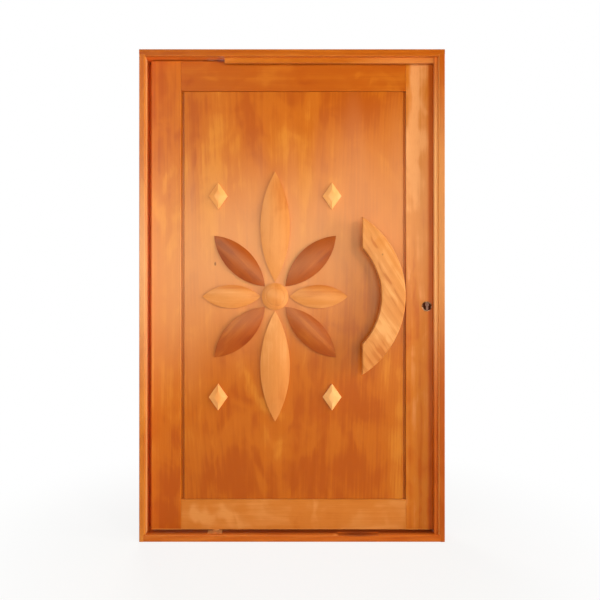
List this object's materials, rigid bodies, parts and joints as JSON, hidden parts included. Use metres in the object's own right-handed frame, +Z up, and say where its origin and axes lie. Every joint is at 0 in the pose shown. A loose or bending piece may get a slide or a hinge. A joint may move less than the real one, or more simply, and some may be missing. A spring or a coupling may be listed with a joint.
{
  "type": "pivot entry door",
  "caption": "Framed and panelled timber door leaf on an offset floor and head pivot, in its own timber frame, with a crescent pull and a carved rosette.",
  "frame": {"origin": "centre of the sill's underside, half way through the depth of the frame", "axes": "+X from the pivot side to the lock side, +Y into the building, +Z up"},
  "size_m": [1.35, 0.16, 2.175],
  "materials": {
    "frame_wood": "varnished",
    "leaf_wood": "varnished",
    "pull_wood": "varnished",
    "light_inlay_wood": "varnished",
    "dark_inlay_wood": "varnished",
    "bronze": "dark bronze",
    "nickel": "satin",
    "steel": "satin"
  },
  "bodies": {
    "frame": {"pivot_jamb": "frame_wood", "lock_jamb": "frame_wood", "head_jamb": "frame_wood", "sill": "frame_wood", "pivot_jamb_stop": "frame_wood", "lock_jamb_stop": "frame_wood", "head_stop_front": "frame_wood", "head_stop_rear": "frame_wood", "strike_plate": "steel", "floor_pivot": "steel", "top_pivot_socket": "steel"},
    "leaf": {"pivot_stile": "leaf_wood", "lock_stile": "leaf_wood", "top_rail": "leaf_wood", "bottom_rail": "leaf_wood", "centre_panel": "leaf_wood", "bottom_pivot_shoe": "steel", "top_pivot_pin": "steel", "pull_handle": "pull_wood", "upper_handle_post": "pull_wood", "lower_handle_post": "pull_wood", "lock_faceplate": "steel", "latch_bolt": "steel", "outer_lock_rose": "bronze", "inner_lock_rose": "bronze", "lock_cylinder": "nickel", "rosette_boss": "light_inlay_wood", "petal_north": "light_inlay_wood", "petal_east": "light_inlay_wood", "petal_south": "light_inlay_wood", "petal_west": "light_inlay_wood", "petal_north_east": "dark_inlay_wood", "petal_north_west": "dark_inlay_wood", "petal_south_east": "dark_inlay_wood", "petal_south_west": "dark_inlay_wood", "stud_upper_left": "light_inlay_wood", "stud_upper_right": "light_inlay_wood", "stud_lower_left": "light_inlay_wood", "stud_lower_right": "light_inlay_wood"}
  },
  "joints": [
    {"name": "leaf_pivot", "type": "hinge", "parent": "frame", "child": "leaf", "pos_m": [-0.344, -0.0075, 0.039], "axis": [0, 0, 1], "range_deg": [0, 90]}
  ]
}
